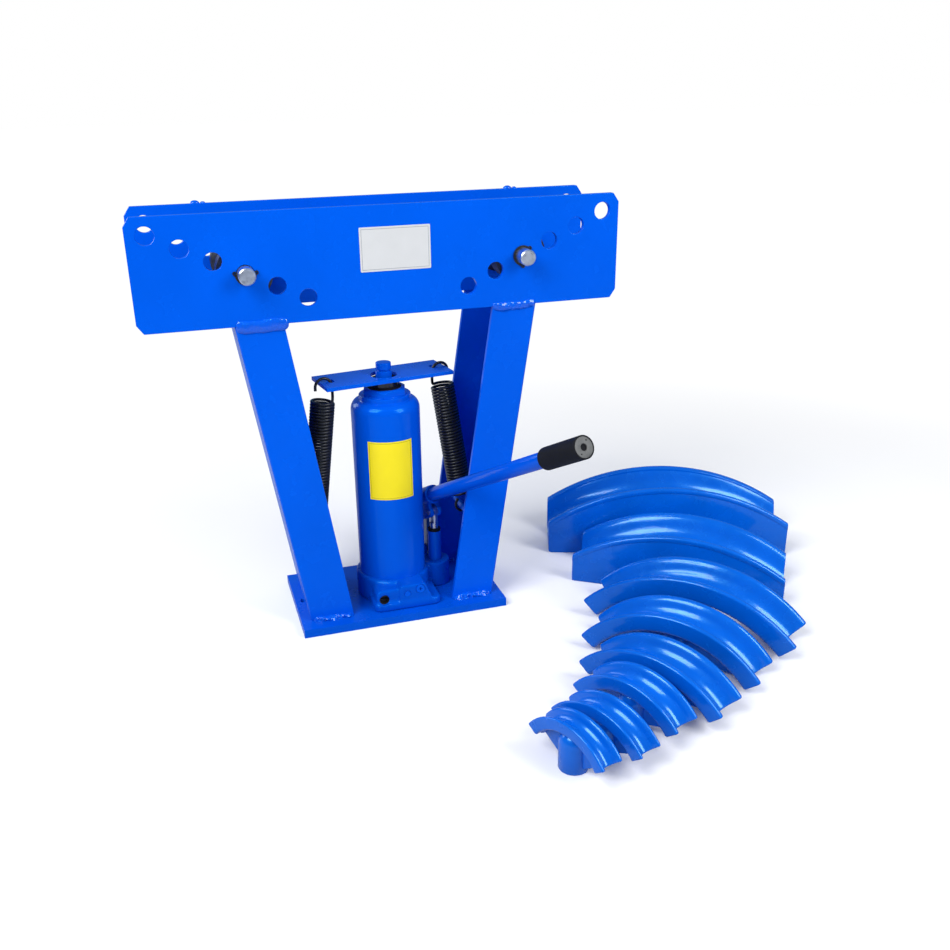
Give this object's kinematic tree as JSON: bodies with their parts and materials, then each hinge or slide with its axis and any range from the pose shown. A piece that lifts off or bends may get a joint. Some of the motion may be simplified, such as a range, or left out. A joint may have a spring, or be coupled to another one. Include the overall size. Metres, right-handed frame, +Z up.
{
  "type": "hydraulic pipe bender",
  "caption": "Hydraulic pipe bender: welded frame with a drilled twin-plate beam, roller pins, a bottle jack with return springs and pump handle, and a graded set of bending dies",
  "frame": {"origin": "The middle of the underside of the base plate.", "axes": "+X along the beam to the right as pictured, +Y from the front to the back, +Z up along the ram."},
  "size_m": [1.1228, 0.7749, 0.6645],
  "materials": {
    "blue_paint": "bright blue gloss paint over steel",
    "die_paint": "blue paint over a cast surface",
    "zinc_steel": "bright zinc plate",
    "bare_steel": "bare steel",
    "roller_steel": "dark oiled steel",
    "black_steel": "blackened spring steel",
    "black_rubber": "matt black rubber",
    "grey_plastic": "grey moulded plug",
    "white_label": "blank white plate",
    "yellow_label": "blank yellow label",
    "brass": "plain brass"
  },
  "bodies": {
    "frame": {"base_plate": "blue_paint", "left_leg": "blue_paint", "right_leg": "blue_paint", "front_beam": "blue_paint", "rear_beam": "blue_paint", "weld_beads": "blue_paint", "name_plate": "white_label", "left_spring_rod": "blue_paint", "right_spring_rod": "blue_paint", "left_pin": "zinc_steel", "right_pin": "zinc_steel", "left_front_clip": "black_steel", "left_rear_clip": "black_steel", "right_front_clip": "black_steel", "right_rear_clip": "black_steel", "jack_base": "blue_paint", "oil_tube": "blue_paint", "jack_label": "yellow_label", "pressure_cylinder": "bare_steel", "gland_nut": "blue_paint", "wiper_ring": "black_rubber", "filler_plug": "black_rubber", "relief_screw": "blue_paint", "oil_plug": "brass", "left_spring": "black_steel", "right_spring": "black_steel", "pump_cylinder": "blue_paint", "pump_gland": "black_rubber", "link_pin": "zinc_steel"},
    "ram": {"ram": "zinc_steel", "piston_seal": "black_rubber", "ram_head": "blue_paint", "cross_plate": "blue_paint"},
    "plunger": {"pump_plunger": "zinc_steel"},
    "lever": {"handle_socket": "blue_paint", "plunger_pin": "zinc_steel", "fulcrum_pin": "zinc_steel"},
    "link": {"fulcrum_link": "bare_steel"},
    "handle": {"handle_tube": "blue_paint", "handle_grip": "black_rubber", "handle_plug": "grey_plastic"},
    "release": {"release_valve": "zinc_steel"},
    "left_roller": {"left_roller": "roller_steel"},
    "right_roller": {"right_roller": "roller_steel"},
    "die_1": {"die_1": "die_paint"},
    "die_2": {"die_2": "die_paint"},
    "die_3": {"die_3": "die_paint"},
    "die_4": {"die_4": "die_paint"},
    "die_5": {"die_5": "die_paint"},
    "die_6": {"die_6": "die_paint"},
    "die_7": {"die_7": "die_paint"},
    "die_8": {"die_8": "die_paint"}
  },
  "joints": [
    {"name": "ram_slide", "type": "slide", "parent": "frame", "child": "ram", "axis": [0, 0, 1], "range_m": [0, 0.2], "stiffness_N_per_m": 5000, "springref_m": -0.012, "deforming": ["left_spring", "right_spring"]},
    {"name": "plunger_slide", "type": "slide", "parent": "frame", "child": "plunger", "axis": [0, 0, 1], "range_m": [-0.0055, 0.0095]},
    {"name": "handle_pivot", "type": "hinge", "parent": "plunger", "child": "lever", "pos_m": [0.0755, 0, 0.145], "axis": [-0.9613, -0.2756, 0], "range_deg": [-10, 18]},
    {"name": "link_pivot", "type": "hinge", "parent": "frame", "child": "link", "pos_m": [0.06833, 0.02501, 0.068], "axis": [-0.9613, -0.2756, 0], "range_deg": [-4.5, 2.6]},
    {"name": "handle_pull", "type": "slide", "parent": "lever", "child": "handle", "axis": [0.2456, -0.8565, 0.454], "range_m": [0, 0.062]},
    {"name": "release_turn", "type": "hinge", "parent": "frame", "child": "release", "pos_m": [-0.033, -0.07, 0.0335], "axis": [0, -1, 0], "range_deg": [0, 180]},
    {"name": "left_roller_spin", "type": "hinge", "parent": "frame", "child": "left_roller", "pos_m": [-0.2054, 0, 0.5757], "axis": [0, 1, 0], "continuous": true},
    {"name": "right_roller_spin", "type": "hinge", "parent": "frame", "child": "right_roller", "pos_m": [0.2054, 0, 0.5757], "axis": [0, 1, 0], "continuous": true},
    {"name": "die_1_lift", "type": "slide", "parent": "frame", "child": "die_1", "axis": [0, 0, 1], "range_m": [0, 0.15]},
    {"name": "die_2_lift", "type": "slide", "parent": "frame", "child": "die_2", "axis": [0, 0, 1], "range_m": [0, 0.15]},
    {"name": "die_3_lift", "type": "slide", "parent": "frame", "child": "die_3", "axis": [0, 0, 1], "range_m": [0, 0.11]},
    {"name": "die_4_lift", "type": "slide", "parent": "frame", "child": "die_4", "axis": [0, 0, 1], "range_m": [0, 0.11]},
    {"name": "die_5_lift", "type": "slide", "parent": "frame", "child": "die_5", "axis": [0, 0, 1], "range_m": [0, 0.1]},
    {"name": "die_6_lift", "type": "slide", "parent": "frame", "child": "die_6", "axis": [0, 0, 1], "range_m": [0, 0.1]},
    {"name": "die_7_lift", "type": "slide", "parent": "frame", "child": "die_7", "axis": [0, 0, 1], "range_m": [0, 0.1]},
    {"name": "die_8_lift", "type": "slide", "parent": "frame", "child": "die_8", "axis": [0, 0, 1], "range_m": [0, 0.1]}
  ],
  "couplings": [
    {"joint": "plunger_slide", "follows": "handle_pivot", "m_per_rad": 0.026},
    {"joint": "link_pivot", "follows": "handle_pivot", "ratio": -0.208}
  ]
}
